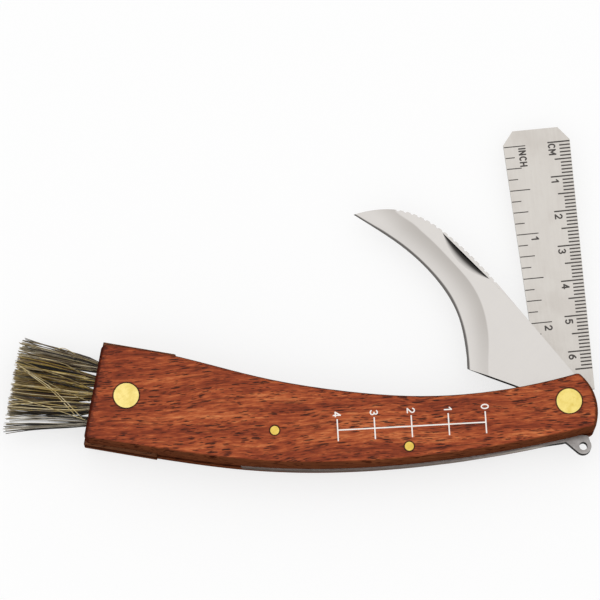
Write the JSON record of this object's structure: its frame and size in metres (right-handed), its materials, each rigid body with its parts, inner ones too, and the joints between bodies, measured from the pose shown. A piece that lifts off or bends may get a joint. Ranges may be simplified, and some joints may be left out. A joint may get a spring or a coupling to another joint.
{
  "type": "folding mushroom knife",
  "caption": "Folding mushroom knife with a curved wooden handle, a hooked blade, a folding ruler, a lanyard eye and a bristle brush at the butt.",
  "frame": {"origin": "on the pivot axis, in the plane of the back scale's outer face that the knife lies on", "axes": "+X along the handle from the brush to the pivot, +Y towards the side that the blade opens from, +Z through the thickness from the back scale to the front scale"},
  "size_m": [0.1616, 0.0979, 0.0127],
  "materials": {
    "scale_wood": "satin reddish-brown hardwood with fine dark pores along the handle",
    "block_wood": "dark hardwood, end grain at the butt",
    "brass": "polished",
    "blade_steel": "fine satin, ground bevel",
    "ruler_steel": "satin, brushed along its length",
    "spring_steel": "satin",
    "anchor_wire": "plain wire",
    "bristle": "stiff natural bristle, olive beige mixed with dark brown and pale strands"
  },
  "bodies": {
    "handle": {"front_scale": "scale_wood", "back_scale": "scale_wood", "brush_block": "block_wood", "tuft_anchors": "anchor_wire", "back_spring": "spring_steel", "pivot_rivet_front": "brass", "pivot_rivet_back": "brass", "brush_rivet_front": "brass", "brush_rivet_back": "brass", "rear_spring_pin": "brass", "centre_spring_pin": "brass", "washer_back": "brass", "washer_middle": "brass", "washer_front": "brass", "bristle_tuft_1": "bristle", "bristle_tuft_2": "bristle", "bristle_tuft_3": "bristle", "bristle_tuft_4": "bristle", "bristle_tuft_5": "bristle"},
    "blade": {"blade": "blade_steel"},
    "ruler": {"ruler": "ruler_steel"}
  },
  "joints": [
    {"name": "blade_pivot", "type": "hinge", "parent": "handle", "child": "blade", "pos_m": [0, 0, 0], "axis": [0, 0, 1], "range_deg": [-134, 46]},
    {"name": "ruler_pivot", "type": "hinge", "parent": "handle", "child": "ruler", "pos_m": [0, 0, 0], "axis": [0, 0, 1], "range_deg": [-95.8, 84.2]}
  ]
}
